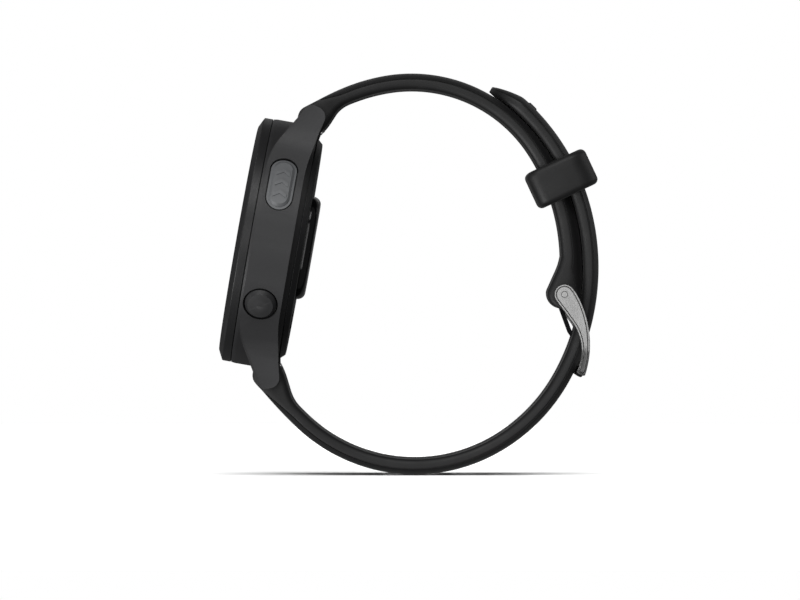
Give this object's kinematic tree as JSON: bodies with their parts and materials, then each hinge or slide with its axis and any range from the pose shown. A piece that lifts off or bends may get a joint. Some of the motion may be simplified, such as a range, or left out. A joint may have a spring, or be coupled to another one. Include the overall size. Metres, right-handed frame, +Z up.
{
  "type": "gps running watch",
  "caption": "Round sports watch with side keys on a closed crowned strap with buckle and keeper loop; keys press, straps, buckle and loop move.",
  "frame": {"origin": "middle of the bounding box in plan, on the surface that the band stands on", "axes": "+X from the watch face to the buckle, +Y from the side with the start key to the far side, +Z up, towards 12 o'clock"},
  "size_m": [0.0662, 0.0446, 0.0699],
  "materials": {
    "lens": "clear, polished",
    "bezel": "fine satin",
    "housing": "fine matte grain",
    "rear": "matte",
    "start_key": "satin grey",
    "round_key": "satin",
    "sensor_window": "polished, dark",
    "band": "fine matte silicone",
    "buckle": "satin with polished bevels",
    "steel": "fine turned",
    "screw": "black plated",
    "seal": "smooth",
    "display": "dark, off",
    "frame_plastic": "moulded",
    "board": "coated laminate",
    "shield": "stamped",
    "battery": "foil",
    "flex": "film",
    "contact": "plated",
    "emitter": "clear resin"
  },
  "bodies": {
    "watch": {"lens_glass": "lens", "bezel": "bezel", "housing_body": "housing", "rear_cover": "rear", "rear_screws": "screw", "sensor_window": "sensor_window", "charge_block": "rear", "lens_gasket": "seal", "display_panel": "display", "display_flex": "flex", "inner_frame": "frame_plastic", "main_board": "board", "shield_can": "shield", "battery": "battery", "antenna_strip": "contact", "vibration_motor": "steel", "sounder": "steel", "key_switches": "steel", "rear_gasket": "seal", "sensor_board": "board", "sensor_emitters": "emitter", "charge_contacts": "contact"},
    "start_key": {"start_key": "start_key", "start_key_seal": "seal", "start_key_clip": "steel"},
    "back_key": {"back_key": "round_key", "back_key_seal": "seal", "back_key_clip": "steel"},
    "light_key": {"light_key": "round_key", "light_key_seal": "seal", "light_key_clip": "steel"},
    "up_key": {"up_key": "round_key", "up_key_seal": "seal", "up_key_clip": "steel"},
    "down_key": {"down_key": "round_key", "down_key_seal": "seal", "down_key_clip": "steel"},
    "short_strap": {"buckle_strap": "band", "upper_bar_tube": "steel", "upper_bar_fixed_pin": "steel", "upper_bar_spring": "steel"},
    "long_strap": {"hole_strap": "band", "lower_bar_tube": "steel", "lower_bar_fixed_pin": "steel", "lower_bar_spring": "steel"},
    "upper_release": {"upper_bar_release_pin": "steel"},
    "lower_release": {"lower_bar_release_pin": "steel"},
    "keeper": {"keeper_loop": "band"},
    "buckle": {"buckle_frame": "buckle", "buckle_pin": "buckle"},
    "tongue": {"buckle_tongue": "screw"}
  },
  "joints": [
    {"name": "start_press", "type": "slide", "parent": "watch", "child": "start_key", "axis": [-0.0842, 0.8746, -0.4774], "range_m": [0, 0.0004], "stiffness_N_per_m": 1500, "springref_m": -0.0003},
    {"name": "back_press", "type": "slide", "parent": "watch", "child": "back_key", "axis": [0.0842, 0.8746, 0.4774], "range_m": [0, 0.0004], "stiffness_N_per_m": 1500, "springref_m": -0.0003},
    {"name": "light_press", "type": "slide", "parent": "watch", "child": "light_key", "axis": [-0.0842, -0.8746, -0.4774], "range_m": [0, 0.0004], "stiffness_N_per_m": 1500, "springref_m": -0.0003},
    {"name": "up_press", "type": "slide", "parent": "watch", "child": "up_key", "axis": [0, -1, 0], "range_m": [0, 0.0004], "stiffness_N_per_m": 1500, "springref_m": -0.0003},
    {"name": "down_press", "type": "slide", "parent": "watch", "child": "down_key", "axis": [0.0842, -0.8746, 0.4774], "range_m": [0, 0.0004], "stiffness_N_per_m": 1500, "springref_m": -0.0003},
    {"name": "short_strap_swing", "type": "hinge", "parent": "watch", "child": "short_strap", "pos_m": [-0.01649, -0.00037, 0.0619], "axis": [0, -1, 0], "range_deg": [0, 38], "deforming": ["buckle_strap"]},
    {"name": "long_strap_swing", "type": "hinge", "parent": "watch", "child": "long_strap", "pos_m": [-0.02436, -0.00037, 0.01728], "axis": [0, 1, 0], "range_deg": [0, 38], "deforming": ["hole_strap"]},
    {"name": "upper_bar_release", "type": "slide", "parent": "short_strap", "child": "upper_release", "axis": [0, 1, 0], "range_m": [0, 0.0015], "stiffness_N_per_m": 400, "springref_m": -0.001, "deforming": ["upper_bar_spring"]},
    {"name": "lower_bar_release", "type": "slide", "parent": "long_strap", "child": "lower_release", "axis": [0, 1, 0], "range_m": [0, 0.0015], "stiffness_N_per_m": 400, "springref_m": -0.001, "deforming": ["lower_bar_spring"]},
    {"name": "keeper_slide", "type": "hinge", "parent": "short_strap", "child": "keeper", "pos_m": [-0.00796, -0.00037, 0.03647], "axis": [0, -1, 0], "range_deg": [-12, 12]},
    {"name": "buckle_swing", "type": "hinge", "parent": "short_strap", "child": "buckle", "pos_m": [0.027, -0.00037, 0.03142], "axis": [0, -1, 0], "range_deg": [0, 60]},
    {"name": "tongue_swing", "type": "hinge", "parent": "buckle", "child": "tongue", "pos_m": [0.027, -0.00037, 0.03142], "axis": [0, -1, 0], "range_deg": [0, 40]}
  ]
}
